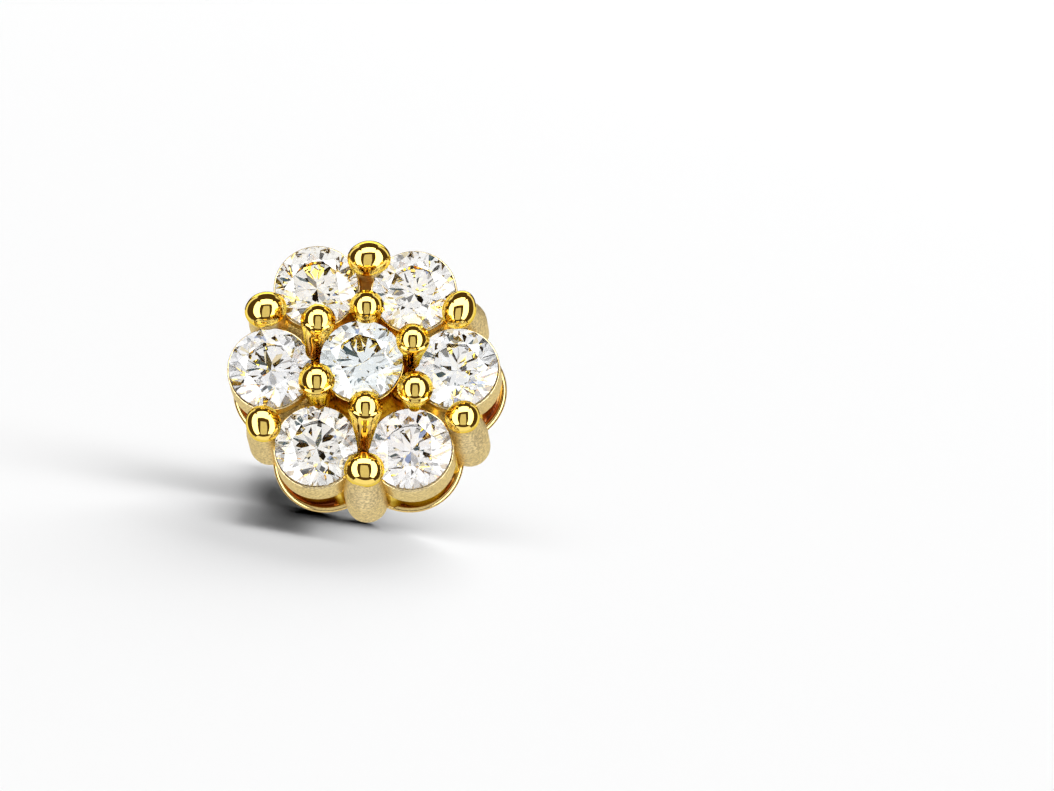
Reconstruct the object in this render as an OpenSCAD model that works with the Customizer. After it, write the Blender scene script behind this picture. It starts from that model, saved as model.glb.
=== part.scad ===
// Cluster earring: a stud with seven round stones in a cast basket and a plain ear post.
// Lengths in mm. It lies on a surface at Z 0, on one column, one lobe of the lower wire
// and the end of the post, with the stones facing -Y and a little up.
// Each piece is drawn flat first: the stones face +Z there, and Z 0 is the middle of the
// outer girdles. The module at_rest then lays it down.

/* [Stones] */
// Diameter of each round stone
stone_d = 2.1; // [1.95:0.05:2.15]
// Width of the table as a share of the diameter
table_share = 0.57; // [0.53:0.01:0.62]
// Slope of the eight crown mains, in degrees
crown_slope = 34.5; // [32:0.5:36]
// Slope of the eight pavilion mains, in degrees
pavilion_slope = 40.75; // [39:0.25:42]
// Girdle thickness as a share of the diameter
girdle_share = 0.04; // [0.03:0.005:0.05]
// How far a star facet runs from the table's edge to the girdle, as a share
star_share = 0.5; // [0.4:0.05:0.6]
// How far a lower half facet runs from the girdle to the point, as a share
half_share = 0.77; // [0.7:0.01:0.85]

/* [Ring of stones] */
// Radius of the ring on which the outer stones lie
ring_r = 2.39; // [2.34:0.01:2.44]
// How much higher the centre stone sits
centre_rise = 0.66; // [0.6:0.02:0.76]
// Gap between a stone and its seat or prongs
seat_gap = 0.03; // [0.02:0.005:0.05]

/* [Walls] */
// Outer radius of each lobe of the wall
lobe_r = 1.1; // [1.06:0.01:1.14]
// Thickness of the wall
wall_t = 0.22; // [0.16:0.02:0.3]
// Depth of the wall's upper edge below the girdles
wall_top = 0.06; // [0.04:0.01:0.1]
// Depth of the wall's lower edge below the girdles
wall_bottom = 1.08; // [1:0.02:1.2]
// How far the gallery under a wall is set back from it
gallery_in = 0.15; // [0.11:0.01:0.17]
// Width of the ribs from the middle out to the columns
rib_w = 0.5; // [0.4:0.02:0.54]
// Depth of the ribs' upper face below the girdles
rib_top = 0.22; // [0.2:0.02:0.34]

/* [Outer prongs] */
// Radius of the circle on which the columns stand
column_ring_r = 3.04; // [3:0.01:3.08]
// Diameter of a column
column_d = 1.06; // [1:0.02:1.12]
// Depth at which a column starts to round off
column_bottom = 1.86; // [1.8:0.02:1.94]
// Length of a column's rounded end
column_end = 0.56; // [0.5:0.02:0.64]
// Depth of a column's shoulder, from which its neck rises to the ball
shoulder = 0.5; // [0.44:0.02:0.6]
// Radius of the circle on which the outer balls lie
ball_ring_r = 2.85; // [2.8:0.01:2.9]
// Diameter of an outer ball
ball_d = 0.92; // [0.84:0.02:1]
// Height of an outer ball's middle above the girdles
ball_z = 0.31; // [0.26:0.01:0.36]

/* [Inner prongs] */
// Radius of the circle on which the inner prongs stand
inner_ring_r = 1.345; // [1.32:0.005:1.38]
// Diameter of an inner ball
inner_ball_d = 0.78; // [0.7:0.02:0.84]
// Height of an inner ball's middle above the outer girdles
inner_ball_z = 0.88; // [0.84:0.01:0.94]
// Diameter of an inner prong at its foot
inner_foot_d = 0.6; // [0.5:0.02:0.66]
// Diameter of the tip of an inner ball's tail
tail_d = 0.36; // [0.3:0.02:0.4]

/* [Lower wire] */
// Diameter of the scalloped wire
wire_d = 0.2; // [0.16:0.02:0.3]
// How far inside the columns' circle the wire's lobes are centred
wire_in = 0.89; // [0.86:0.01:0.92]
// How far inside a column's middle the wire passes
wire_inset = 0.345; // [0.32:0.005:0.37]
// Depth of the wire below the girdles
wire_depth = 2.08; // [2:0.02:2.12]

/* [Back and post] */
// Width of the bar across the back
bar_w = 0.8; // [0.7:0.05:1]
// Thickness of the bar
bar_t = 0.36; // [0.3:0.02:0.44]
// Diameter of the pad under the post
pad_d = 1.8; // [1.6:0.1:2]
// Diameter of the post
post_d = 0.9; // [0.8:0.02:0.92]
// How far the face leans back at rest, in degrees, which sets the post's length
lean = 20.5; // [19:0.5:22]

/* [Hidden] */

// The stones were set by hand: how far each lies off its even place, from the right
// one round, and then the centre one
stone_off = [[-0.06, -0.01], [0.01, -0.04], [-0.07, 0.09], [-0.01, -0.01], [0.01, 0.01], [0, -0.06], [-0.04, 0]];
// How far each ball leans off its even place, from 30 degrees round
ball_off = [[-0.06, 0], [0.08, -0.05], [-0.04, 0.01], [-0.06, -0.13], [0.04, 0.09], [0.05, 0.02]];
inner_ball_off = [[0.1, -0.19], [0.08, 0.02], [0.02, 0.34], [0.02, 0.1], [0.1, 0.07], [0.18, -0.12]];
// How far each column stands off its even place
column_off = [[-0.13, -0.04], [0, -0.15], [0.12, -0.04], [0.13, 0.05], [0, 0.05], [-0.05, 0.01]];
// The tip of each inner ball's tail, from the ball's middle. The ball at 90 degrees has none
tail_off = [[-0.03, -0.4, -0.6], [0, 0, 0], [-0.085, -0.62, -0.6], [0.04, -0.4, -0.6], [-0.075, -0.78, -0.74],
    [-0.04, -0.27, -0.55]];

step = 60;
half_step = step / 2;
facets = 8;
stone_r = stone_d / 2;
table_r = stone_r * table_share;
girdle_h = stone_d * girdle_share;
crown_h = (stone_r - table_r) * tan(crown_slope);
pavilion_h = stone_r * tan(pavilion_slope);
table_z = girdle_h / 2 + crown_h;
column_r = column_d / 2;
ball_r = ball_d / 2;
inner_ball_r = inner_ball_d / 2;
wire_r = wire_d / 2;
wire_ring_r = column_ring_r - wire_in;
wire_reach = [column_ring_r * cos(half_step) - wire_ring_r, column_ring_r * sin(half_step)];
wire_lobe_r = norm(wire_reach) - wire_inset;
post_r = post_d / 2;
pad_bottom = wire_depth + bar_t / 2;
fillet_d = 0.34;
round_fn = 64;
small_fn = 40;

// The column that touches the surface, and the wire's lobe beside it
rest_column = column_spot(4);
rest_lobe = [wire_ring_r * cos(240), wire_ring_r * sin(240)];
// How far the column's rounded end and the post's reach past their middles, down
column_reach = norm([column_r * cos(lean), column_end * sin(lean)]);
post_end = post_r * 0.7;
post_reach = norm([post_r * cos(lean), post_end * sin(lean)]);
// The direction that points down at rest, as an angle in the ring's plane
apart = rest_column - rest_lobe;
lobe_lead = ((wire_depth - column_bottom) * sin(lean) + wire_lobe_r * cos(lean) + wire_r - column_reach) / cos(lean);
down = atan2(apart.y, apart.x) - acos(lobe_lead / norm(apart));
down_dir = [cos(down), sin(down)];
rest_z = cos(lean) * (rest_column * down_dir) + sin(lean) * column_bottom + column_reach;
post_bottom = (rest_z - post_reach) / sin(lean);
back_y = post_bottom * cos(lean) + norm([post_r * sin(lean), post_end * cos(lean)]);
front_y = max([for (i = [0:5]) ball_z * cos(lean) + (ball_spot(i) * down_dir) * sin(lean) + ball_r]);
rest_y = (front_y - back_y) / 2;

// Places in the ring's plane. Stones lie at 0, 60 and so on, and prongs halfway between
function polar(r, a) = [r * cos(a), r * sin(a)];
function stone_spot(i) = i < 6 ? polar(ring_r, i * step) + stone_off[i] : stone_off[6];
function stone_z(i) = i < 6 ? 0 : centre_rise;
function ball_spot(i) = polar(ball_ring_r, i * step + half_step) + ball_off[i];
function column_spot(i) = polar(column_ring_r, i * step + half_step) + column_off[i];
function inner_spot(i) = polar(inner_ring_r, i * step + half_step) + inner_ball_off[i];
function lift(p, z) = [p.x, p.y, z];

// Height over p of the plane through the points a, b and c
function plane_z(a, b, c, p) = let (n = cross(b - a, c - a)) a.z - (n.x * (p.x - a.x) + n.y * (p.y - a.y)) / n.z;

// Lays a piece down on the surface
module at_rest() {
    translate([0, rest_y, rest_z])
        rotate([90 - lean, 0, 0])
            rotate([0, 0, 270 - down])
                children();
}

// A round rod or cone from p to q
module rod(p, q, d_p, d_q) {
    v = q - p;
    translate(p)
        rotate([0, acos(v.z / norm(v)), atan2(v.y, v.x)])
            cylinder(h = norm(v), d1 = d_p, d2 = d_q, $fn = small_fn);
}

// The space cut for one stone: the stone with the seat gap all round
module stone_room() {
    over = seat_gap / cos(pavilion_slope);
    rotate_extrude($fn = round_fn)
        polygon([
            [0, -girdle_h / 2 - pavilion_h - over],
            [stone_r + seat_gap, -girdle_h / 2 - over + seat_gap * tan(pavilion_slope)],
            [stone_r + seat_gap, girdle_h / 2 + seat_gap],
            [table_r + seat_gap, table_z + seat_gap],
            [0, table_z + seat_gap]
        ]);
}

// One round brilliant: a table, 8 stars, 8 crown mains, 16 upper halves, a girdle,
// 16 lower halves and 8 pavilion mains
module round_brilliant() {
    turn = 360 / facets;
    star_r = table_r * cos(turn / 2) * (1 - star_share) + stone_r * star_share;
    star_z = table_z - (star_r * cos(turn / 2) - table_r) * tan(crown_slope);
    half_r = stone_r * (1 - half_share);
    half_z = -girdle_h / 2 - (stone_r - half_r * cos(turn / 2)) * tan(pavilion_slope);
    mid = polar(stone_r, turn / 4);
    top_z = plane_z(lift(polar(star_r, turn / 2), star_z), lift(polar(stone_r, 0), girdle_h / 2),
        lift(polar(stone_r, turn / 2), girdle_h / 2), mid);
    low_z = plane_z(lift(polar(half_r, turn / 2), half_z), lift(polar(stone_r, 0), -girdle_h / 2),
        lift(polar(stone_r, turn / 2), -girdle_h / 2), mid);
    n = facets;
    rim = 4 * n;
    table = [for (k = [0:n - 1]) lift(polar(table_r, k * turn), table_z)];
    stars = [for (k = [0:n - 1]) lift(polar(star_r, (k + 0.5) * turn), star_z)];
    upper = [for (k = [0:rim - 1]) lift(polar(stone_r, k * turn / 4), k % 2 == 0 ? girdle_h / 2 : top_z)];
    lower = [for (k = [0:rim - 1]) lift(polar(stone_r, k * turn / 4), k % 2 == 0 ? -girdle_h / 2 : low_z)];
    halves = [for (k = [0:n - 1]) lift(polar(half_r, (k + 0.5) * turn), half_z)];
    point = [[0, 0, -girdle_h / 2 - pavilion_h]];
    s = n;
    u = 2 * n;
    l = u + rim;
    h = l + rim;
    tip = h + n;
    polyhedron(
        points = concat(table, stars, upper, lower, halves, point),
        faces = concat(
            [[for (k = [n - 1:-1:0]) k]],
            [for (k = [0:n - 1]) [k, (k + 1) % n, s + k]],
            [for (k = [0:n - 1]) [k, s + k, u + 4 * k, s + (k + n - 1) % n]],
            [for (k = [0:n - 1]) [s + k, u + 4 * k + 2, u + 4 * k + 1, u + 4 * k]],
            [for (k = [0:n - 1]) [s + k, u + (4 * k + 4) % rim, u + 4 * k + 3, u + 4 * k + 2]],
            [for (k = [0:rim - 1]) [u + k, u + (k + 1) % rim, l + (k + 1) % rim, l + k]],
            [for (k = [0:n - 1]) [h + k, l + 4 * k, l + 4 * k + 1, l + 4 * k + 2]],
            [for (k = [0:n - 1]) [h + k, l + 4 * k + 2, l + 4 * k + 3, l + (4 * k + 4) % rim]],
            [for (k = [0:n - 1]) [tip, h + (k + n - 1) % n, l + 4 * k, h + k]]
        )
    );
}

// A stone in its seat. Each was set at its own turn
module set_stone(i, turned) {
    at_rest()
        translate(lift(stone_spot(i), stone_z(i)))
            rotate([0, 0, turned])
                round_brilliant();
}

// One column with a rounded lower end and a round shoulder, the neck that leans in from
// the shoulder, and the ball
module outer_prong(i) {
    translate(lift(column_spot(i), 0))
        rotate_extrude($fn = round_fn)
            polygon(concat(
                [for (a = [-90:10:0]) [column_r * cos(a), -column_bottom + column_end * sin(a)]],
                [for (a = [0:10:90]) [column_r * cos(a), column_r * sin(a) - shoulder - column_r / 2]]
            ));
    rod(lift(column_spot(i), -shoulder - column_r / 2), lift(ball_spot(i), ball_z), column_d * 0.98, ball_d * 0.86);
    translate(lift(ball_spot(i), ball_z))
        sphere(d = ball_d, $fn = small_fn);
}

// One inner prong: a leaning pin, its ball and the tail that runs down from the ball
module inner_prong(i) {
    top = lift(inner_spot(i), inner_ball_z);
    rod(lift(polar(inner_ring_r, i * step + half_step), -wall_bottom + 0.12), top, inner_foot_d, inner_ball_d * 0.86);
    translate(top)
        sphere(d = inner_ball_d, $fn = small_fn);
    if (norm(tail_off[i]) > 0) {
        rod(top + tail_off[i], top, tail_d, inner_ball_d * 0.9);
        translate(top + tail_off[i])
            sphere(d = tail_d, $fn = small_fn);
    }
}

// The lower wire between two columns, as one lobe of a scalloped line
module wire_lobe() {
    side = atan2(wire_reach.y, wire_reach.x) + 4;
    rotate([0, 0, -side])
        rotate_extrude(angle = 2 * side, $fn = round_fn)
            translate([wire_lobe_r, 0])
                circle(r = wire_r, $fn = small_fn);
}

// The bar across the back, its pad, the soldered foot of the post and the post
module back_and_post() {
    foot_h = 0.3;
    translate([0, 0, -wire_depth])
        cube([bar_w, 2 * column_ring_r, bar_t], center = true);
    translate([0, 0, -pad_bottom])
        cylinder(h = bar_t * 1.3, d = pad_d, $fn = round_fn);
    translate([0, 0, -pad_bottom - foot_h])
        cylinder(h = foot_h + bar_t / 2, d1 = post_d * 1.02, d2 = post_d * 1.7, $fn = small_fn);
    rotate_extrude($fn = small_fn)
        polygon(concat(
            [[0, -wire_depth], [0, -post_bottom - post_end]],
            [for (a = [-80:10:0]) [post_r * cos(a), -post_bottom + post_end * sin(a)]],
            [[post_r, -wire_depth]]
        ));
}

// The seats: six open lobes with a set-back gallery under each, the raised ring for the
// centre stone, and the web and ribs between
module seats() {
    inner_r = lobe_r - wall_t;
    gallery_h = wire_depth - wall_bottom + 0.2;
    hub_r = 1.06;
    hub_top = centre_rise - 0.22;
    web_r = column_ring_r - column_r + 0.11;
    web_t = 0.25;
    web_z = -wall_bottom + 0.1;
    difference() {
        union() {
            for (i = [0:5]) {
                translate(lift(stone_spot(i), -wall_bottom))
                    cylinder(h = wall_bottom - wall_top, r = lobe_r, $fn = round_fn);
                translate(lift(stone_spot(i), 0.1 - wall_bottom - gallery_h))
                    cylinder(h = gallery_h, r = lobe_r - gallery_in, $fn = round_fn);
                rotate([0, 0, i * step + half_step])
                    translate([inner_ring_r, -rib_w / 2, -wall_bottom + 0.06])
                        cube([column_ring_r - inner_ring_r, rib_w, wall_bottom - 0.06 - rib_top]);
            }
            translate([0, 0, web_z])
                cylinder(h = web_t, r = web_r, $fn = round_fn);
            translate([0, 0, web_z - 0.05])
                cylinder(h = hub_top - web_z + 0.05, r = hub_r, $fn = round_fn);
        }
        for (i = [0:6])
            translate(lift(stone_spot(i), -wall_bottom - 0.5))
                cylinder(h = wall_bottom + (i < 6 ? 0.3 : 0.5 + centre_rise), r = i < 6 ? inner_r : 0.7, $fn = round_fn);
        for (i = [0:5])
            translate(lift(stone_spot(i), -wire_depth - 0.3))
                cylinder(h = wire_depth - wall_bottom + 0.3, r = inner_r - gallery_in + 0.05, $fn = round_fn);
    }
}

module setting() {
    color([0.86, 0.66, 0.28])
        at_rest()
            difference() {
                union() {
                    seats();
                    for (i = [0:5]) {
                        outer_prong(i);
                        inner_prong(i);
                        for (side = [-1, 1])
                            translate(lift(polar(ring_r, i * step) + polar(lobe_r, i * step + side * 62), -wire_depth))
                                cylinder(h = wire_depth - wall_bottom + 0.2, d = fillet_d, $fn = small_fn);
                        translate(lift(polar(wire_ring_r, i * step), -wire_depth))
                            rotate([0, 0, i * step])
                                wire_lobe();
                    }
                    back_and_post();
                }
                for (i = [0:6])
                    translate(lift(stone_spot(i), stone_z(i)))
                        stone_room();
            }
}

module stone_centre() {
    color([0.93, 0.96, 0.98]) set_stone(6, 8);
}

module stone_right() {
    color([0.96, 0.97, 0.98]) set_stone(0, 20);
}

module stone_upper_right() {
    color([0.96, 0.97, 0.98]) set_stone(1, 3);
}

module stone_upper_left() {
    color([0.96, 0.97, 0.98]) set_stone(2, 31);
}

module stone_left() {
    color([0.96, 0.97, 0.98]) set_stone(3, 14);
}

module stone_lower_left() {
    color([0.96, 0.97, 0.98]) set_stone(4, 38);
}

module stone_lower_right() {
    color([0.96, 0.97, 0.98]) set_stone(5, 25);
}

setting();
stone_centre();
stone_right();
stone_upper_right();
stone_upper_left();
stone_left();
stone_lower_left();
stone_lower_right();
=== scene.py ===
import bpy
import numpy as np
from mathutils import Matrix


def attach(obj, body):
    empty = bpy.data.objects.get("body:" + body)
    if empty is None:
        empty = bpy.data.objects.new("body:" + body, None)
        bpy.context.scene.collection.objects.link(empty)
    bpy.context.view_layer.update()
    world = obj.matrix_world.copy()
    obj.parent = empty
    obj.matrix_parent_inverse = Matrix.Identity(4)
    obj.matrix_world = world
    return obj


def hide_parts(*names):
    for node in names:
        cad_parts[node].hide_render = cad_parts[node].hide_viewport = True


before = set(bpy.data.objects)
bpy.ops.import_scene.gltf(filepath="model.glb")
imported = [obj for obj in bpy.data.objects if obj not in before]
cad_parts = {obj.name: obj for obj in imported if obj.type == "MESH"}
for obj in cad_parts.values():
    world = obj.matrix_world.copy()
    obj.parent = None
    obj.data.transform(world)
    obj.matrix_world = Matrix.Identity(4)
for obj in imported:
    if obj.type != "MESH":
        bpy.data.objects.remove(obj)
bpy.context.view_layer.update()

# Stones: seven round brilliants, cut and polished from clear crystal and held by the
# prongs. Their facets are the drawing's own. The index is high, so that each shows the
# studio in small flashes, and every stone has its own faint warm or cool cast.
STONE_IOR = 2.2
STONE_CASTS = {
    "stone_centre": (0.93, 0.985, 1.0),
    "stone_right": (0.975, 0.99, 1.0),
    "stone_upper_right": (1.0, 0.995, 0.98),
    "stone_upper_left": (1.0, 0.985, 0.94),
    "stone_left": (0.985, 0.99, 1.0),
    "stone_lower_left": (1.0, 0.99, 0.96),
    "stone_lower_right": (1.0, 0.99, 0.99),
}


def crystal(name, cast):
    """Clear polished crystal, with a faint cast in the light that it lets through."""
    material = bpy.data.materials.new(name)
    material.use_nodes = True
    shader = material.node_tree.nodes["Principled BSDF"]
    shader.inputs["Base Color"].default_value = (*cast, 1)
    shader.inputs["Roughness"].default_value = 0.0
    shader.inputs["IOR"].default_value = STONE_IOR
    shader.inputs["Transmission Weight"].default_value = 1.0
    return material


for node_name, cast in STONE_CASTS.items():
    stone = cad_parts[node_name]
    stone.data.materials.clear()
    stone.data.materials.append(crystal("Crystal of " + node_name, cast))

# Lobed walls: one open seat under each outer stone, in yellow gold, cast in one with the
# rest of the basket. The outside keeps the fine sandy skin of the casting, and the upper
# and lower edges are rubbed bright.
MM = 0.001
# The pose at rest, which the drawing works out: how far the face leans back, the side of
# the ring that points down, and the place of the ring's middle, in mm
LEAN, DOWN = np.radians(20.5), np.radians(-102.48525)
REST_Y, REST_Z = -3.98075, 3.91958
# A stone's radius, its girdle, the height of its table, and its slopes above and below
STONE_R, GIRDLE, TABLE_Z = 1.05, 0.084, 0.3523
CROWN, PAVILION = np.radians(34.5), np.radians(40.75)
# The ring of stones, the rise of the centre one, and the gap between a stone and its seat
RING_R, RISE, SEAT_GAP = 2.39, 0.66, 0.03
STEP = np.radians(60)
EVEN = STEP * np.arange(6)
BETWEEN = EVEN + STEP / 2
# How far each stone was set off its even place, from the right one round
STONE_OFF = [(-0.06, -0.01), (0.01, -0.04), (-0.07, 0.09), (-0.01, -0.01), (0.01, 0.01), (0, -0.06)]
CENTRE_OFF = (-0.04, 0.0)


def ring_of(radius, angles, off):
    """Places at this radius and these angles, each moved by its own offset."""
    return radius * np.stack([np.cos(angles), np.sin(angles)], -1) + np.array(off)


SPOTS = ring_of(RING_R, EVEN, STONE_OFF)
STONES = np.array([(*spot, 0.0) for spot in SPOTS] + [(*CENTRE_OFF, RISE)])


def laid(points):
    """Points of the drawing, in mm with the stones facing +Z, as metres at rest: turned in
    the ring's plane, leant back and set down on the floor."""
    turn = -np.pi / 2 - DOWN
    x = points[..., 0] * np.cos(turn) - points[..., 1] * np.sin(turn)
    y = points[..., 0] * np.sin(turn) + points[..., 1] * np.cos(turn)
    z = points[..., 2]
    placed = [x, y * np.sin(LEAN) - z * np.cos(LEAN) + REST_Y, y * np.cos(LEAN) + z * np.sin(LEAN) + REST_Z]
    return np.stack(placed, -1) * MM


def piece(name, grids, material):
    """One gold object from grids. A grid is rows by columns by 4: the place, and the polish and
    painted light, from 0 for sandy and, where the gold has a colour of painted shade, painted
    darkest, to 1 for bright. Columns go round and close.
    closes row to row too, and any other gets a fan on each end. The sign of the volume
    turns the faces outward."""
    verts, faces, start = [], [], 0
    for grid, ring in grids:
        rows, cols = grid.shape[:2]
        at = np.arange(rows * cols).reshape(rows, cols)
        low, high = (at, np.roll(at, -1, 0)) if ring else (at[:-1], at[1:])
        quads = [np.stack([low, np.roll(low, -1, 1), np.roll(high, -1, 1), high], -1).reshape(-1, 4)]
        points = [grid.reshape(-1, 4)]
        if not ring:
            for row, tip, order in ((0, rows * cols, -1), (rows - 1, rows * cols + 1, 1)):
                fan = np.stack([at[row], np.roll(at[row], -1), np.full(cols, tip)], 1)[:, ::order]
                quads.append(np.concatenate([fan, fan[:, -1:]], 1))
                points.append(grid[row].mean(0)[None])
        points, quads = np.concatenate(points), np.concatenate(quads)
        a, b, c, d = (points[quads[:, n], :3] for n in range(4))
        volume = (np.cross(b - a, c - a) * a).sum() + (np.cross(c - a, d - a) * a).sum()
        verts.append(points)
        faces.append((quads if volume > 0 else quads[:, ::-1]) + start)
        start += len(points)
    verts, faces = np.concatenate(verts), np.concatenate(faces)
    face_list = [list(dict.fromkeys(face)) for face in faces.tolist()]
    mesh = bpy.data.meshes.new(name)
    mesh.from_pydata(laid(verts).tolist(), [], face_list)
    mesh.polygons.foreach_set("use_smooth", np.ones(len(face_list), bool))
    mesh.attributes.new("polish_and_painted_light", "FLOAT", "POINT").data.foreach_set("value", verts[:, 3].astype(np.float32))
    mesh.materials.append(material)
    mesh.update()
    made = bpy.data.objects.new(name, mesh)
    bpy.context.scene.collection.objects.link(made)
    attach(made, "root")
    return made


# Roughness of gold that the polish has reached
POLISHED = 0.14
# The sheen at grazing angles, against the colour: how much stronger, and how much paler
SHEEN_GAIN, SHEEN_LIFT = 1.15, 0.1
# The broad unevenness: its size, and its depth. Then the depth of the sandy grain, in mm
WAVE_MM, WAVE_DEPTH_MM, GRAIN_DEPTH_MM = 0.45, 0.02, 0.012
# Values of the grain's noise between which a speck goes from its darkest to its palest,
# and how far it goes to the pale side, as a share of the dark one
SPECK_FROM, SPECK_TO, PALE_SHARE = 0.36, 0.64, 0.6


def gold(name, colour, rough, grain, grain_mm, wave, speck, painted_shade=None):
    """Yellow gold. Grain and broad unevenness stand in the bump, specks of the grain vary the
    colour, and the attribute of polish and painted light turns the sandy skin bright. Where a
    colour of painted shade is given, it takes the place of the colour as that attribute falls to nothing."""
    material = bpy.data.materials.new(name)
    material.use_nodes = True
    nodes, links = material.node_tree.nodes, material.node_tree.links
    shader = nodes["Principled BSDF"]
    shader.inputs["Metallic"].default_value = 1.0
    sheen = [min(1, c * SHEEN_GAIN + SHEEN_LIFT) for c in colour]
    shader.inputs["Specular Tint"].default_value = (*sheen, 1)
    where = nodes.new("ShaderNodeTexCoord")
    fine, broad = nodes.new("ShaderNodeTexNoise"), nodes.new("ShaderNodeTexNoise")
    for noise, size_mm, detail in ((fine, grain_mm, 3), (broad, WAVE_MM, 2)):
        noise.inputs["Scale"].default_value = 1 / (size_mm * MM)
        noise.inputs["Detail"].default_value = detail
        links.new(where.outputs["Object"], noise.inputs["Vector"])
    polish_and_painted_light = nodes.new("ShaderNodeAttribute")
    polish_and_painted_light.attribute_name = "polish_and_painted_light"
    sandy = nodes.new("ShaderNodeMath")
    sandy.operation = "SUBTRACT"
    sandy.use_clamp = True
    sandy.inputs[0].default_value = 1.0
    links.new(polish_and_painted_light.outputs["Fac"], sandy.inputs[1])
    tone = nodes.new("ShaderNodeValToRGB")
    dark, pale = tone.color_ramp.elements
    dark.position, pale.position = SPECK_FROM, SPECK_TO
    dark.color = (*[c * (1 - speck) for c in colour], 1)
    pale.color = (*[min(1, c * (1 + speck * PALE_SHARE)) for c in colour], 1)
    links.new(fine.outputs["Fac"], tone.inputs["Fac"])
    blend = nodes.new("ShaderNodeMix")
    blend.data_type = "RGBA"
    # In a mix of colours, inputs 6 and 7 are its two colours, and output 2 is the result
    blend.inputs[6].default_value = (*(painted_shade or colour), 1)
    links.new(tone.outputs["Color"], blend.inputs[7])
    blend.inputs[0].default_value = 1.0
    # Where it is given, the colour of painted shade mixes in as the polish and painted light fall
    if painted_shade:
        links.new(polish_and_painted_light.outputs["Fac"], blend.inputs[0])
    links.new(blend.outputs[2], shader.inputs["Base Color"])
    roughness = nodes.new("ShaderNodeMapRange")
    roughness.inputs["To Min"].default_value = rough
    roughness.inputs["To Max"].default_value = min(rough, POLISHED)
    links.new(polish_and_painted_light.outputs["Fac"], roughness.inputs["Value"])
    links.new(roughness.outputs["Result"], shader.inputs["Roughness"])
    strength = nodes.new("ShaderNodeMath")
    strength.operation = "MULTIPLY"
    strength.inputs[1].default_value = grain
    links.new(sandy.outputs["Value"], strength.inputs[0])
    wavy, grainy = nodes.new("ShaderNodeBump"), nodes.new("ShaderNodeBump")
    wavy.inputs["Strength"].default_value = wave
    wavy.inputs["Distance"].default_value = WAVE_DEPTH_MM * MM
    links.new(broad.outputs["Fac"], wavy.inputs["Height"])
    grainy.inputs["Distance"].default_value = GRAIN_DEPTH_MM * MM
    links.new(strength.outputs["Value"], grainy.inputs["Strength"])
    links.new(fine.outputs["Fac"], grainy.inputs["Height"])
    links.new(wavy.outputs["Normal"], grainy.inputs["Normal"])
    links.new(grainy.outputs["Normal"], shader.inputs["Normal"])
    return material


def turned(profile, centre, polish_and_painted_light, ring, count=144):
    """A profile of radius and height, spun about the vertical through centre. A profile that
    closes on itself is given with ring."""
    a = np.arange(count) / count * 2 * np.pi
    r, z = profile[:, :1], profile[:, 1:2]
    level = np.broadcast_to(np.reshape(polish_and_painted_light, (-1, 1)), (len(profile), count))
    return np.stack([centre[0] + r * np.cos(a), centre[1] + r * np.sin(a), z + 0 * a, level], -1), ring


def rounded(corners, radius, steps=5):
    """A closed profile through the corners, each cut back by its radius along both sides and
    joined by a quadratic curve."""
    corners = np.array(corners, float)
    before, after = np.roll(corners, 1, 0) - corners, np.roll(corners, -1, 0) - corners
    cut = np.reshape(radius, (-1, 1))
    cut_a = corners + before / np.linalg.norm(before, axis=1, keepdims=True) * cut
    cut_b = corners + after / np.linalg.norm(after, axis=1, keepdims=True) * cut
    t = np.linspace(0, 1, steps)[None, :, None]
    curve = cut_a[:, None] * (1 - t) ** 2 + corners[:, None] * 2 * t * (1 - t) + cut_b[:, None] * t**2
    return curve.reshape(-1, 2)


def seat_z(r, middle):
    """Height at radius r of a seat's cone: it lies the seat's gap outside the pavilion of a
    stone whose girdle's middle is at this height."""
    return middle - GIRDLE / 2 - (STONE_R - r) * np.tan(PAVILION) - SEAT_GAP / np.cos(PAVILION)


LOBE_R, WALL_T, WALL_TOP, WALL_BOTTOM = 1.10, 0.22, -0.06, -1.08
WALL_IN = LOBE_R - WALL_T
# Rounding of the section's corners: outer, inner, where the seat ends, and the lower two
WALL_ROUND = [0.042, 0.006, 0.03, 0.04, 0.06]
# How far the rubbing runs down from the upper edge and up from the lower one
RUBBED_TOP, RUBBED_BOTTOM = 0.07, 0.10

satin = gold("Satin gold", (0.86, 0.68, 0.38), rough=0.46, grain=0.9, grain_mm=0.06, wave=0.25, speck=0.36)
wall_profile = rounded([(LOBE_R, WALL_TOP), (STONE_R, WALL_TOP), (WALL_IN, seat_z(WALL_IN, 0)),
                        (WALL_IN, WALL_BOTTOM), (LOBE_R, WALL_BOTTOM)], WALL_ROUND)
edges = np.abs(wall_profile[:, 1:] - [[WALL_TOP, WALL_BOTTOM]]) / [[RUBBED_TOP, RUBBED_BOTTOM]]
wall_polish = np.clip(1 - edges.min(1), 0, 1)
walls = piece("lobed_walls", [turned(wall_profile, s, wall_polish, ring=True) for s in STONES[:6]], satin)
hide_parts("setting")

# Gallery: a narrower band under each wall, of the same casting. Beside the columns it comes
# forward, and a thin ledge at its foot meets the lower wire. It is polished, but deep in the
# groove and on the sides that face down it is rougher and painted dark red-brown, as shade.

# Radius of the circle on which the columns stand
COLUMN_RING_R = 3.04
# The wire that it meets: radius, height, how far inside the columns' circle its lobes
# are centred, and how far inside a column's middle it passes
WIRE_R, WIRE_Z, WIRE_IN, WIRE_INSET = 0.10, -2.08, 0.89, 0.345
WIRE_RING_R = COLUMN_RING_R - WIRE_IN
WIRE_REACH = np.array([COLUMN_RING_R * np.cos(STEP / 2) - WIRE_RING_R, COLUMN_RING_R * np.sin(STEP / 2)])
WIRE_LOBE_R = np.linalg.norm(WIRE_REACH) - WIRE_INSET
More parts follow.
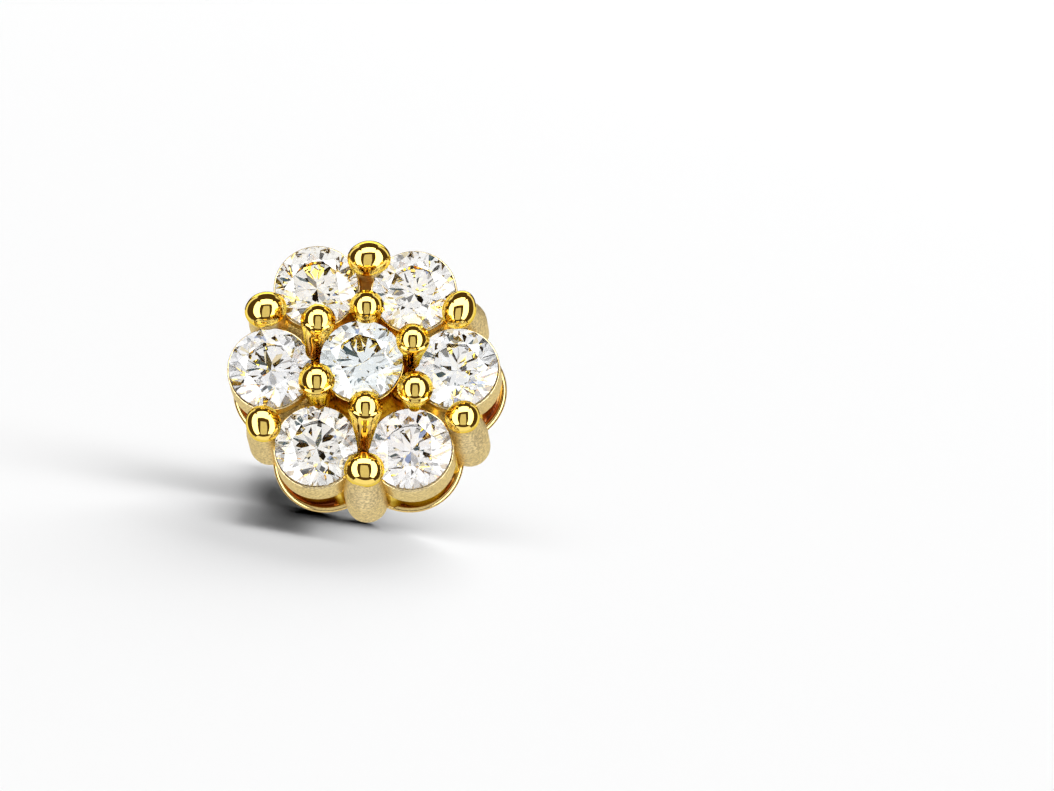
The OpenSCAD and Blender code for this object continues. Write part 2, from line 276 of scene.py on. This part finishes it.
# How far it is set back from the wall, its thickness and the rounding of its section
GALLERY_IN, GALLERY_T, GALLERY_ROUND = 0.15, 0.17, 0.03
GALLERY_TOP, GALLERY_FOOT = WALL_BOTTOM + 0.15, WIRE_Z - 0.02
# How far it comes forward beside the columns, and where round the lobe that starts, is
# full and ends, from the outermost line
FORWARD = 0.17
FORWARD_FROM, FORWARD_FULL, FORWARD_END = np.radians([47, 60, 100])
# The ledge's thickness and greatest width, and where round the lobe it starts to end and ends
LEDGE_T, LEDGE_W = 0.08, 0.5
LEDGE_FULL, LEDGE_END = np.radians([74, 84])
# The height up to which the groove is painted dark, as shade, and the height from which it
# is polished and unshaded. Then the same for the directions round the lobe, as sines of the
# angle above the photograph's level: the sides that face down are painted in shade
DARK_TO, POLISHED_AND_LIT_FROM = WIRE_Z + 0.6, WIRE_Z + 0.85
DOWNWARD, UPWARD = -0.375, 0.125
# The polish and painted light beside the columns, above the groove and on the sides that face
# upward, and the share of the thickness, from inside, which has all of it. Less of it is painted shade
BESIDE_POLISH_AND_LIGHT, ABOVE_POLISH_AND_LIGHT, UPWARD_POLISH_AND_LIGHT, INSIDE_SHARE = 0.25, 0.85, 0.8, 0.375


def smooth_step(t):
    """From 0 to 1 as t goes from 0 to 1, level at both ends: three t squared less two t cubed."""
    t = np.clip(t, 0, 1)
    return t**2 * (3 - 2 * t)


def gallery_lobe(k):
    """A band round one seat. In its section, x is 0 on the inner face, 1 on the outer one and
    2 on the arc of the lower wire, where the ledge ends. The radius grows by a smooth step
    on both sides, where the band nears the columns. The polish and painted light fall to nothing
    on the outer face, low down and where it faces downward, which paints shade there."""
    a = np.arange(192) / 192 * 2 * np.pi
    off = np.abs((a - EVEN[k] + np.pi) % (2 * np.pi) - np.pi)
    near = smooth_step((off - FORWARD_FROM) / (FORWARD_FULL - FORWARD_FROM)) * (off < FORWARD_END)
    section = rounded([(1, GALLERY_TOP), (0, GALLERY_TOP), (0, GALLERY_FOOT), (2, GALLERY_FOOT),
                       (2, GALLERY_FOOT + LEDGE_T), (1, GALLERY_FOOT + LEDGE_T)], GALLERY_ROUND)
    section = np.vstack([section, [(1, DARK_TO), (1, POLISHED_AND_LIT_FROM)]])
    x, z = section[:, :1], section[:, 1:]
    arc = ring_of(WIRE_RING_R, EVEN[k], (0, 0)) - SPOTS[k]
    along = arc[0] * np.cos(a) + arc[1] * np.sin(a)
    wire_at = along + np.sqrt(WIRE_LOBE_R**2 - arc @ arc + along**2)
    across, ledge = np.clip(x, 0, 1), np.clip(x - 1, 0, 1)
    r = LOBE_R - GALLERY_IN - GALLERY_T * (1 - across) + FORWARD * near * across
    r = r + ledge * np.clip(wire_at - r, 0, LEDGE_W) * np.interp(off, [LEDGE_FULL, LEDGE_END], [1, 0])
    inside = np.interp(x, [INSIDE_SHARE, 1], [1, 0])
    above = np.interp(z, [DARK_TO, POLISHED_AND_LIT_FROM], [0, ABOVE_POLISH_AND_LIGHT])
    upward = np.interp(np.sin(a), [DOWNWARD, UPWARD], [0, UPWARD_POLISH_AND_LIGHT])
    level = np.maximum(np.maximum(inside, above), np.maximum(BESIDE_POLISH_AND_LIGHT * near, upward))
    return np.stack([SPOTS[k][0] + r * np.cos(a), SPOTS[k][1] + r * np.sin(a), z + 0 * a, level], -1), True


# The gallery's colour of painted shade: dark red-brown, for the shade in the groove and the red of gold
# mirrored in gold
shaded = gold("Shaded gold", (0.93, 0.66, 0.22), rough=0.22, grain=0.6, grain_mm=0.06, wave=0.5, speck=0.25,
              painted_shade=(0.17, 0.04, 0.012))
piece("gallery", [gallery_lobe(k) for k in range(6)], shaded)

# Middle seat, web and ribs: the raised tube that carries the centre stone, the thin floor
# round it and six ribs that run out to the columns, cast in one with the walls. Deep between
# the stones they are rougher and painted dark red-brown, as shade with the red of gold mirrored in gold.

# The tube: its radii outside and inside, the heights of its ends, and its corners' rounding
HUB_R, HUB_IN, HUB_TOP, HUB_BOTTOM = 1.06, 0.72, 0.44, WALL_BOTTOM + 0.05
HUB_ROUND = [0.03, 0.02, 0.03, 0.04, 0.04]
# The polish and painted light low on the tube, the height up to which it is that, and where it
# is full. Below full, the tube is painted darker, as shade
HUB_LOW_POLISH_AND_LIGHT, HUB_DULL_AND_SHADED_TO, HUB_BRIGHT_FROM = 0.7, -0.47, -0.2
# The thin floor: its radii, its faces' heights, its rounding, and its polish and painted light,
# short of full, so that it is painted a little darker, as shade
WEB_IN, WEB_OUT, WEB_TOP, WEB_BOTTOM, WEB_ROUND, WEB_POLISH_AND_LIGHT = 1.0, 1.6, -0.73, -0.98, 0.04, 0.8
# The ribs: their width, the height of their upper face, where they start and end, and
# their corners' rounding
RIB_W, RIB_TOP, RIB_FROM, RIB_TO = 0.5, -0.22, 1.0, COLUMN_RING_R - 0.1
RIB_ROUND = [0.03, 0.03, 0.12, 0.12]
# The polish and painted light of each rib, from 30 degrees round, the share of its width, each
# way from the middle, that has all of that, and the share of it that the sides have. Then the
# heights between which a rib's polish and light set in. Less of it is painted shade
RIB_POLISH_AND_LIGHT, RIB_MIDDLE, RIB_SIDES = [1.0, 0.3, 1.0, 1.0, 0.2, 1.0], 0.125, 0.1
RIB_DARK_TO, RIB_BRIGHT_FROM = -0.5, -0.25


def box_section(width, low, high, radius):
    """A rounded upright box, as a closed profile of x and height, with its middle at x 0."""
    return rounded([(-width / 2, low), (width / 2, low), (width / 2, high), (-width / 2, high)], radius)


def rib(k):
    """A bar from the middle seat to a column: a rounded box section drawn out along the
    radius. The polish and painted light fall from the upper face down, and from the middle to
    the sides, which paints shade low down and at the sides."""
    section = box_section(RIB_W, WEB_BOTTOM, RIB_TOP, RIB_ROUND)
    u = np.linspace(RIB_FROM, RIB_TO, 40)[:, None]
    x, z = section[None, :, 0] + 0 * u, section[None, :, 1] + 0 * u
    c, s = np.cos(BETWEEN[k]), np.sin(BETWEEN[k])
    high = np.interp(z, [RIB_DARK_TO, RIB_BRIGHT_FROM], [0, 1])
    middle = np.interp(np.abs(x) / RIB_W, [RIB_MIDDLE, 0.5], [1, RIB_SIDES])
    return np.stack([u * c - x * s, u * s + x * c, z, RIB_POLISH_AND_LIGHT[k] * high * middle], -1), False


# The middle seat's colour of painted shade: dark red-brown, for the shade between the stones and the red of
# gold mirrored in gold
amber = gold("Amber gold", (0.97, 0.65, 0.19), rough=0.36, grain=0.5, grain_mm=0.07, wave=0.5, speck=0.30,
             painted_shade=(0.24, 0.065, 0.018))
# The lip is where the seat's cone comes out of the tube's upper face
hub_lip = HUB_IN + (HUB_TOP - seat_z(HUB_IN, RISE)) / np.tan(PAVILION)
hub_profile = rounded([(HUB_R, HUB_TOP), (hub_lip, HUB_TOP), (HUB_IN, seat_z(HUB_IN, RISE)),
                       (HUB_IN, HUB_BOTTOM), (HUB_R, HUB_BOTTOM)], HUB_ROUND)
hub_polish_and_light = np.interp(hub_profile[:, 1], [HUB_DULL_AND_SHADED_TO, HUB_BRIGHT_FROM], [HUB_LOW_POLISH_AND_LIGHT, 1])
hub = turned(hub_profile, STONES[6], hub_polish_and_light, ring=True)
web_profile = rounded([(WEB_IN, WEB_BOTTOM), (WEB_OUT, WEB_BOTTOM), (WEB_OUT, WEB_TOP), (WEB_IN, WEB_TOP)],
                      WEB_ROUND)
web = turned(web_profile, (0, 0), WEB_POLISH_AND_LIGHT, ring=True)
piece("middle_seat_and_web", [hub, web] + [rib(k) for k in range(6)], amber)

# Columns: the lower part of the outer prongs, thick round bars with a rounded foot, which
# narrow and lean in from the neck to the ball. Cast, and left with the sandy skin that
# the balls have lost.

# Radius, height at which the foot starts to round off, its length, and height of the neck
COLUMN_R, COLUMN_BOTTOM, COLUMN_END, NECK_Z = 0.53, -1.86, 0.56, -0.95
# How far each column stands off its even place, from 30 degrees round
COLUMN_OFF = [(-0.13, -0.04), (0, -0.15), (0.12, -0.04), (0.13, 0.05), (0, 0.05), (-0.05, 0.01)]
COLUMNS = ring_of(COLUMN_RING_R, BETWEEN, COLUMN_OFF)
# The balls that they lead to: circle, height, how far each leans off its place, and radius
BALL_RING_R, BALL_Z = 2.85, 0.31
BALL_OFF = [(-0.06, 0), (0.08, -0.05), (-0.04, 0.01), (-0.06, -0.13), (0.04, 0.09), (0.05, 0.02)]
BALL_R = [0.44, 0.485, 0.485, 0.455, 0.475, 0.425]
BALLS = ring_of(BALL_RING_R, BETWEEN, BALL_OFF)
# Width of the neck under a ball, as a share of the ball's
NECK_SHARE = 0.93
# Room that the metal leaves round a stone
STONE_ROOM = 0.012


def clear_of_stones(grid):
    """Moves each point that lies in a stone out to that stone's nearest face, as if a cutter
    of its shape had been there: the crown's cone or the table, the girdle, or the
    pavilion's cone, each with a little room."""
    points = grid[..., :3].copy()
    for stone in STONES:
        off = points - stone
        r = np.maximum(np.hypot(off[..., 0], off[..., 1]), 1e-6)
        z = off[..., 2]
        girdle = STONE_R + STONE_ROOM - r
        slope = (GIRDLE / 2 + (STONE_R - r) * np.tan(CROWN) - z) * np.cos(CROWN)
        crown = np.minimum(slope, TABLE_Z - z) + STONE_ROOM
        below = (z + GIRDLE / 2 + (STONE_R - r) * np.tan(PAVILION)) * np.cos(PAVILION) + STONE_ROOM
        inside = (girdle > 0) & (crown > 0) & (below > 0)
        nearest = np.argmin(np.stack([girdle, crown, below]), 0)
        by_face = [nearest == 0, nearest == 1]
        push_r = np.select(by_face, [girdle, crown * np.sin(CROWN)], below * np.sin(PAVILION))
        push_z = np.select(by_face, [0 * z, crown * np.cos(CROWN)], -below * np.cos(PAVILION))
        points[..., :2] += np.where(inside, push_r / r, 0)[..., None] * off[..., :2]
        points[..., 2] += np.where(inside, push_z, 0)
    return np.concatenate([points, grid[..., 3:]], -1)


def column(k):
    """A round bar whose middle leans from the column's place to the ball's by a smooth step
    above the neck's start, while the radius shrinks by the same step. Its foot is half an
    ellipse. All of it is sandy."""
    up = np.linspace(0.03, np.pi / 2, 24)
    straight = np.linspace(COLUMN_BOTTOM, BALL_Z, 90)[1:]
    z = np.concatenate([COLUMN_BOTTOM - COLUMN_END * np.cos(up), straight])
    r = np.concatenate([COLUMN_R * np.sin(up), np.full(len(straight), COLUMN_R)])
    t = smooth_step((z - NECK_Z) / (BALL_Z - NECK_Z))
    r = r + (BALL_R[k] * NECK_SHARE - COLUMN_R) * t
    middle = COLUMNS[k] + (BALLS[k] - COLUMNS[k]) * t[:, None]
    a = np.arange(96) / 96 * 2 * np.pi
    x, y = middle[:, :1] + r[:, None] * np.cos(a), middle[:, 1:] + r[:, None] * np.sin(a)
    return clear_of_stones(np.stack([x, y, z[:, None] + 0 * a, 0 * x], -1)), False


piece("columns", [column(k) for k in range(6)], satin)

# Outer balls: the polished heads of the outer prongs, cast as beads, pressed over the
# edges of the stones and burnished by hand, so that no two are quite alike.

# Each ball's unevenness, and how the pressing drew it out: which way, by how much along
# that way and by how much across it
UNEVEN = [0.12, 0.09, 0.07, 0.08, 0.07, 0.08]
STRETCH = [(65, 1.09, 0.87), (0, 1.04, 0.92), (18, 1.07, 0.89), (0, 1.02, 1.02), (0, 1.03, 0.89),
           (10, 1.07, 0.96)]
# The unevenness is three waves across the ball: their frequencies, and their phases' range
WAVES, PHASES = (1.3, 2.3, 3.6), 6.28


def outer_ball(k):
    """A ball drawn out along one direction in the plan and pressed in across it, whose radius
    also changes slowly with direction, by three cosine waves of set phase."""
    rng = np.random.default_rng(k)
    u = np.linspace(0.02, np.pi - 0.02, 64)[:, None]
    v = np.arange(96)[None] / 96 * 2 * np.pi
    way = np.stack([np.sin(u) * np.cos(v), np.sin(u) * np.sin(v), np.cos(u) + 0 * v], -1)
    r = np.ones(way.shape[:2])
    for wave in WAVES:
        axis = rng.normal(size=3)
        r += UNEVEN[k] / wave * np.cos(wave * (way @ (axis / np.linalg.norm(axis))) + rng.uniform(0, PHASES))
    turn, longer, narrower = STRETCH[k]
    c, s = np.cos(np.radians(turn)), np.sin(np.radians(turn))
    main, side = np.array([c, s, 0]), np.array([-s, c, 0])
    drawn_out, pressed_in = (way @ main)[..., None] * main, (way @ side)[..., None] * side
    way = way + drawn_out * (longer - 1) + pressed_in * (narrower - 1)
    ball = np.array([*BALLS[k], BALL_Z]) + way * (BALL_R[k] * r)[..., None]
    return clear_of_stones(np.concatenate([ball, 1 + 0 * ball[..., :1]], -1)), False


# Bright gold's colour of painted shade darkens only the pins' feet and the tails' tips
bright = gold("Bright gold", (0.94, 0.685, 0.18), rough=0.05, grain=0.0, grain_mm=0.06, wave=0.30, speck=0.05,
              painted_shade=(0.2, 0.05, 0.012))
piece("outer_balls", [outer_ball(k) for k in range(6)], bright)

# Inner prongs: short leaning pins with pear-shaped polished heads, cast between the
# seats. Each head was pushed by hand over three stones, and its metal drew out to a tail.
INNER_RING_R, INNER_Z, PIN_FOOT_Z, PIN_FOOT_R = 1.345, 0.88, WALL_BOTTOM + 0.2, 0.26
# For each prong, from 30 degrees round: its head's radius and how far it was pushed, then
# its tail's tip, from the middle of the head, and the radius of that tip
HEAD_R = [0.385, 0.39, 0.40, 0.42, 0.395, 0.41]
HEAD_PUSH = [(0.1, -0.19), (0.08, 0.02), (0.02, 0.34), (0.02, 0.1), (0.1, 0.07), (0.18, -0.12)]
TAIL_TIP = [(-0.03, -0.4, -0.6), (0, 0.02, -0.4), (-0.085, -0.62, -0.6), (0.04, -0.4, -0.6),
            (-0.075, -0.78, -0.74), (-0.04, -0.27, -0.55)]
TAIL_R = [0.18, 0.18, 0.27, 0.18, 0.18, 0.18]
# What is left of the painted light at a pin's foot and at a tail's tip, where the colour is
# painted dark, as shade, and how far from the head's middle it is full, as a share of the
# head's radius
PIN_FOOT_LIGHT, TAIL_TIP_LIGHT, BRIGHT_NECK = 0.2, 0.12, 0.6
# Width of the neck at the head, as a share of the head's, and the power of its sine
NECK_TOP, NECK_POWER = 0.97, 1.3
# A direction that no prong runs along, from which the way across one is found
OFF_AXIS = (0.3, 0.9, 0.1)


def drop(low, high, r_low, r_high, small_end_light):
    """A round body from a small ball to a large one along a straight line: the large ball's
    circle, and a neck that narrows by a power of a sine to the small one's. A sixth power
    blends the two. The painted light falls with the square of the way to its least at the small
    end, where the colour is painted dark, as shade."""
    axis = high - low
    length = np.linalg.norm(axis)
    axis = axis / length
    side = np.cross(axis, OFF_AXIS)
    side /= np.linalg.norm(side)
    other = np.cross(axis, side)
    s = (1 - np.cos(np.linspace(0.03, np.pi - 0.03, 110))) / 2 * (length + r_low + r_high) - r_low
    ball = np.sqrt(np.clip(r_high**2 - (s - length) ** 2, 0, None))
    tip = np.sqrt(np.clip(r_low**2 - np.minimum(s, 0) ** 2, 0, None))
    neck = tip + (r_high * NECK_TOP - tip) * np.sin(np.clip(s / length, 0, 1) * np.pi / 2) ** NECK_POWER
    r = np.where(s > length, ball, (ball**6 + np.where(s < length, neck, 0) ** 6) ** (1 / 6))
    v = np.arange(72) / 72 * 2 * np.pi
    around = side * np.cos(v)[:, None] + other * np.sin(v)[:, None]
    body = low + axis * s[:, None, None] + around[None] * r[:, None, None]
    way_to_head = s / (length - r_high * BRIGHT_NECK)
    level = np.clip(small_end_light + (1 - small_end_light) * way_to_head**2 * np.sign(s), small_end_light, 1)
    return clear_of_stones(np.concatenate([body, level[:, None, None] + 0 * body[..., :1]], -1)), False


FEET = ring_of(INNER_RING_R, BETWEEN, (0, 0))
pins, tails = [], []
for foot, push, tip, head_r, tail_r in zip(FEET, HEAD_PUSH, TAIL_TIP, HEAD_R, TAIL_R):
    head = np.array([*(foot + push), INNER_Z])
    pins.append(drop(np.array([*foot, PIN_FOOT_Z]), head, PIN_FOOT_R, head_r, PIN_FOOT_LIGHT))
    tails.append(drop(head + tip, head, tail_r, head_r, TAIL_TIP_LIGHT))
piece("inner_prongs", pins + tails, bright)

# Lower wire: a drawn gold wire bent to six shallow lobes and soldered across the lower
# ends of the columns, polished. It thickens into the solder at each end.

# How far each lobe runs on inside a column
WIRE_PAST = np.radians(4)
# How much the solder adds to the wire's thickness at the end, and how late it sets in
SOLDER_SWELL, SOLDER_POWER = 1.5, 8


def wire_lobe(k):
    """A round wire along an arc of the lobe's circle, from inside one column to inside the
    next, whose thickness grows with a high power of the way from its middle."""
    side = np.arctan2(WIRE_REACH[1], WIRE_REACH[0]) + WIRE_PAST
    t = np.linspace(-1, 1, 96)[:, None]
    v = np.arange(32)[None] / 32 * 2 * np.pi
    r = WIRE_R * (1 + SOLDER_SWELL * np.abs(t) ** SOLDER_POWER)
    a = EVEN[k] + t * side
    reach = WIRE_LOBE_R + r * np.cos(v)
    x = WIRE_RING_R * np.cos(EVEN[k]) + reach * np.cos(a)
    y = WIRE_RING_R * np.sin(EVEN[k]) + reach * np.sin(a)
    return np.stack([x, y, WIRE_Z + r * np.sin(v), 1 + 0 * x], -1), False


drawn = gold("Drawn gold", (0.74, 0.55, 0.23), rough=0.2, grain=0.3, grain_mm=0.05, wave=0.3, speck=0.15)
piece("lower_wire", [wire_lobe(k) for k in range(6)], drawn)

# Back bar, pad and post: a plain flat bar soldered across two columns, a round pad on it
# and the drawn ear post, which stands on a small cone of solder and has a rounded end.
BAR_W, BAR_T, BAR_ROUND = 0.8, 0.36, 0.05
# The pad: radius, thickness, rounding of its edges and the middle of that rounding. Its
# upper face, inside the basket, ends at a small circle, which the end fan closes
PAD_R, PAD_T, PAD_ROUND, PAD_CHAMFER, PAD_IN = 0.9, 0.47, 0.05, 0.015, 0.02
PAD_LOW = WIRE_Z - BAR_T / 2
PAD_HIGH = PAD_LOW + PAD_T
# The post: its radius and the length of its rounded end, which starts at the depth that lets
# it touch the floor at rest
POST_R, POST_END = 0.45, 0.315
POST_BOTTOM = -(REST_Z - np.hypot(POST_R * np.cos(LEAN), POST_END * np.sin(LEAN))) / np.sin(LEAN)
# The solder's cone: depth under the pad, and radius as a share of the post's
SOLDER = [(0.6, 1.0), (0.3, 1.03), (0.15, 1.2), (0.02, 1.65)]

bend = np.linspace(0, np.pi / 2, 12)[1:]
post_end = np.stack([POST_R * np.sin(bend), POST_BOTTOM - POST_END * np.cos(bend)], 1)
solder = [(POST_R * share, PAD_LOW - depth) for depth, share in SOLDER]
pad = [(PAD_R - PAD_ROUND, PAD_LOW), (PAD_R - PAD_CHAMFER, PAD_LOW + PAD_CHAMFER),
       (PAD_R, PAD_LOW + PAD_ROUND), (PAD_R, PAD_HIGH - PAD_ROUND),
       (PAD_R - PAD_CHAMFER, PAD_HIGH - PAD_CHAMFER), (PAD_R - PAD_ROUND, PAD_HIGH), (PAD_IN, PAD_HIGH)]
post_profile = np.concatenate([post_end, solder, pad])


def back_bar():
    """A rounded box section, drawn out between two opposite columns."""
    section = box_section(BAR_W, WIRE_Z - BAR_T / 2, WIRE_Z + BAR_T / 2, BAR_ROUND)
    y = np.linspace(-COLUMN_RING_R, COLUMN_RING_R, 30)[:, None]
    x, z = section[None, :, 0] + 0 * y, section[None, :, 1] + 0 * y
    return np.stack([x, y + 0 * x, z, 1 + 0 * x], -1), False


post_and_pad = turned(post_profile, (0, 0), 1.0, ring=False, count=96)
piece("back_bar_and_post", [post_and_pad, back_bar()], bright)

# Floor and studio: a plain white sweep under three soft boxes. The gold mirrors a white
# tent with an opening for the camera and dark seams, small dark and tinted cards flash in
# the stones, and a black flag deepens the shadow under the stud.
FLOOR_HALF, FLOOR_WHITE = 2.5, 0.9
# The camera's line: right of straight ahead, above the floor, and rolled
CAMERA_SIDE, CAMERA_UP, CAMERA_ROLL = np.radians([7.3648, 5.1431, 11.3996])
WHITE = (1.0, 1.0, 1.0)
MIDDLE = laid(np.zeros(3))

level_right = np.array([np.cos(CAMERA_SIDE), np.sin(CAMERA_SIDE), 0])
to_camera = np.array([np.cos(CAMERA_UP) * np.sin(CAMERA_SIDE), -np.cos(CAMERA_UP) * np.cos(CAMERA_SIDE),
                      np.sin(CAMERA_UP)])
image_right = level_right * np.cos(CAMERA_ROLL) + np.cross(to_camera, level_right) * np.sin(CAMERA_ROLL)
image_up = np.cross(to_camera, image_right)

paper = bpy.data.materials.new("White paper")
paper.use_nodes = True
paper_shader = paper.node_tree.nodes["Principled BSDF"]
paper_shader.inputs["Base Color"].default_value = (FLOOR_WHITE, FLOOR_WHITE, FLOOR_WHITE, 1)
paper_shader.inputs["Roughness"].default_value = 1.0
paper_shader.inputs["Specular IOR Level"].default_value = 0.0
floor_mesh = bpy.data.meshes.new("Floor")
floor_corners = [(FLOOR_HALF * sx, FLOOR_HALF * sy, 0) for sx, sy in ((-1, -1), (1, -1), (1, 1), (-1, 1))]
floor_mesh.from_pydata(floor_corners, [], [(0, 1, 2, 3)])
floor_mesh.materials.append(paper)
floor = bpy.data.objects.new("Floor", floor_mesh)
bpy.context.scene.collection.objects.link(floor)
floor.visible_glossy = False


def glow(name, strength, colour):
    """A material that only shines."""
    material = bpy.data.materials.new(name)
    material.use_nodes = True
    material.node_tree.nodes.clear()
    shine = material.node_tree.nodes.new("ShaderNodeEmission")
    shine.inputs["Color"].default_value = (*colour, 1)
    shine.inputs["Strength"].default_value = strength
    out = material.node_tree.nodes.new("ShaderNodeOutputMaterial")
    material.node_tree.links.new(shine.outputs["Emission"], out.inputs["Surface"])
    return material


def shown_to(made, rays):
    """Lets a thing of the studio be met by these kinds of ray alone."""
    for kind in ("camera", "diffuse", "glossy", "transmission", "volume_scatter", "shadow"):
        setattr(made, "visible_" + kind, kind in rays)


def card(name, middle, half_x, half_y, material, rays):
    """A flat card: its middle, and half of each of its sides as a direction in metres."""
    mesh = bpy.data.meshes.new(name)
    corners = [middle + half_x * sx + half_y * sy for sx, sy in ((-1, -1), (1, -1), (1, 1), (-1, 1))]
    mesh.from_pydata([corner.tolist() for corner in corners], [], [(0, 1, 2, 3)])
    mesh.materials.append(material)
    made = bpy.data.objects.new(name, mesh)
    bpy.context.scene.collection.objects.link(made)
    shown_to(made, rays)


def panel(name, way, distance, width, height, strength, colour, rays):
    """A glowing card that faces the stud from this direction."""
    way = way / np.linalg.norm(way)
    side = np.cross(image_up, way)
    side /= np.linalg.norm(side)
    half_x, half_y = side * width / 2, np.cross(way, side) * height / 2
    card(name, MIDDLE + way * distance, half_x, half_y, glow(name, strength, colour), rays)


def towards(azimuth, elevation):
    """The direction right of and above the camera's line by these degrees."""
    a, e = np.radians(azimuth), np.radians(elevation)
    return np.cos(e) * np.cos(a) * to_camera + np.cos(e) * np.sin(a) * image_right + np.sin(e) * image_up


# Lights that fall on the floor: direction, width and height in metres, and strength
KEY_DISTANCE = 3.0
KEYS = [
    ("Low back key", (0.0165, 0.947, 0.3206), 0.93, 1.34, 24.0),
    ("Right key", (0.6666, 0.0583, 0.743), 3.7, 2.2, 2.45),
    ("Front key", (0.1162, -0.659, 0.743), 3.7, 2.2, 2.45),
]
for name, way, width, height, strength in KEYS:
    panel(name, np.array(way), KEY_DISTANCE, width, height, strength, WHITE, ("diffuse",))

# What the gold mirrors: degrees right of and above the camera's line, width and height in
# metres, and strength
TENT_DISTANCE = 0.3
TENT = [
    ("Opening", 0, -17, 0.23, 0.54, 0.78),
    ("Left box", -56, 0, 0.20, 0.75, 3.3),
    ("Right box", 56, 0, 0.21, 0.75, 3.5),
    ("Top box", 0, 60, 0.32, 0.21, 3.6),
    ("Bottom box", 0, -98, 0.40, 0.2, 1.1),
    ("Table behind", 180, -32, 0.62, 0.42, 0.88),
    ("Left rim box", -128, 10, 0.10, 0.6, 1.1),
    ("Right rim box", 128, 10, 0.10, 0.6, 1.1),
    ("Back box", 180, 40, 0.3, 0.14, 1.8),
]
for name, azimuth, elevation, width, height, strength in TENT:
    panel(name, towards(azimuth, elevation), TENT_DISTANCE, width, height, strength, WHITE, ("glossy",))

# The flag: its middle, width and length in mm, and its turn about the vertical
FLAG_AT, FLAG_W, FLAG_L, FLAG_TURN = np.array([-1.08, -2.4, 1.04]), 1.86, 15.4, 0.13
flag_x = np.array([np.cos(FLAG_TURN), np.sin(FLAG_TURN), 0]) * FLAG_W / 2
flag_y = np.array([-np.sin(FLAG_TURN), np.cos(FLAG_TURN), 0]) * FLAG_L / 2
flag_black = glow("Flag", 0.0, WHITE)
card("Flag under the stud", FLAG_AT * MM, flag_x * MM, flag_y * MM, flag_black, ("diffuse", "shadow"))

# The dim warm room that shows in the gold between the boxes
ROOM_GLOW, ROOM_COLOUR = 0.085, (1.0, 0.62, 0.30)
bpy.ops.mesh.primitive_uv_sphere_add(segments=32, ring_count=16, radius=1.0)
room = bpy.context.object
room.name = "Room"
room.data.materials.append(glow("Room", ROOM_GLOW, ROOM_COLOUR))
shown_to(room, ("glossy",))

# Small cards that flash in the stones: how many, how far, how widely they are strewn in
# degrees and how large they are in metres. Each takes the next tint and strength in turn
CARDS, CARD_DISTANCE, CARD_MIN, CARD_MAX = 420, 0.27, 0.006, 0.022
AZIMUTH_SPREAD, ELEVATION_MIDDLE, ELEVATION_SPREAD = 38, 8, 32
CARD_TINTS = [
    ((0, 0, 0), 0.0), ((1, 1, 1), 0.3), ((0.05, 0.10, 0.12), 1.0), ((0, 0, 0), 0.0),
    ((0.50, 0.62, 0.95), 0.75), ((0, 0, 0), 0.0), ((1, 1, 1), 0.6), ((1.0, 0.88, 0.6), 0.9),
]
strewn = np.random.default_rng(7)
for n in range(CARDS):
    azimuth, elevation = strewn.normal(0, AZIMUTH_SPREAD), strewn.normal(ELEVATION_MIDDLE, ELEVATION_SPREAD)
    width, height = strewn.uniform(CARD_MIN, CARD_MAX, 2)
    tint, strength = CARD_TINTS[n % len(CARD_TINTS)]
    way = towards(azimuth, elevation)
    panel("Card", way, CARD_DISTANCE, width, height, strength, tint, ("transmission",))

# The white that the stones and the camera see all round, and the light's settings
TENT_GLOW = 1.13
scene = bpy.context.scene
world = bpy.data.worlds.new("Tent")
world.use_nodes = True
world.node_tree.nodes["Background"].inputs["Color"].default_value = (1, 1, 1, 1)
world.node_tree.nodes["Background"].inputs["Strength"].default_value = TENT_GLOW
scene.world = world
world.cycles_visibility.diffuse = False
world.cycles_visibility.glossy = False
scene.view_settings.view_transform = "Standard"
scene.cycles.max_bounces = 24
scene.cycles.transmission_bounces = 20
scene.cycles.glossy_bounces = 8
scene.cycles.caustics_reflective = False
scene.cycles.caustics_refractive = False

# Camera: the photograph's side of the stud, rolled as the stud has rolled onto its lower
# left lobe, at a long distance so that nothing is stretched.
DISTANCE, SENSOR_MM = 0.250, 36
# The photograph: its width and height, its pixels to the millimetre of the stud, and the
# pixel where the ring's middle lies
FRAME_W, FRAME_H, PER_MM, STUD_X, STUD_Y = 1054, 791, 39.49, 364.7, 368.1

eye = MIDDLE + to_camera * DISTANCE
aim = MIDDLE + (image_right * (FRAME_W / 2 - STUD_X) - image_up * (FRAME_H / 2 - STUD_Y)) / PER_MM * MM
back_way = (eye - aim) / np.linalg.norm(eye - aim)
right_way = image_right - (image_right @ back_way) * back_way
right_way /= np.linalg.norm(right_way)
camera_data = bpy.data.cameras.new("Camera")
camera_data.sensor_width = SENSOR_MM
camera_data.lens = SENSOR_MM * PER_MM * DISTANCE / MM / FRAME_W
camera_data.clip_start = 0.01
camera_data.clip_end = 20
camera = bpy.data.objects.new("Camera", camera_data)
pose = np.eye(4)
pose[:3, :3] = np.stack([right_way, np.cross(back_way, right_way), back_way], 1)
pose[:3, 3] = eye
camera.matrix_world = Matrix(pose.tolist())
scene.collection.objects.link(camera)
bpy.context.scene.camera = camera
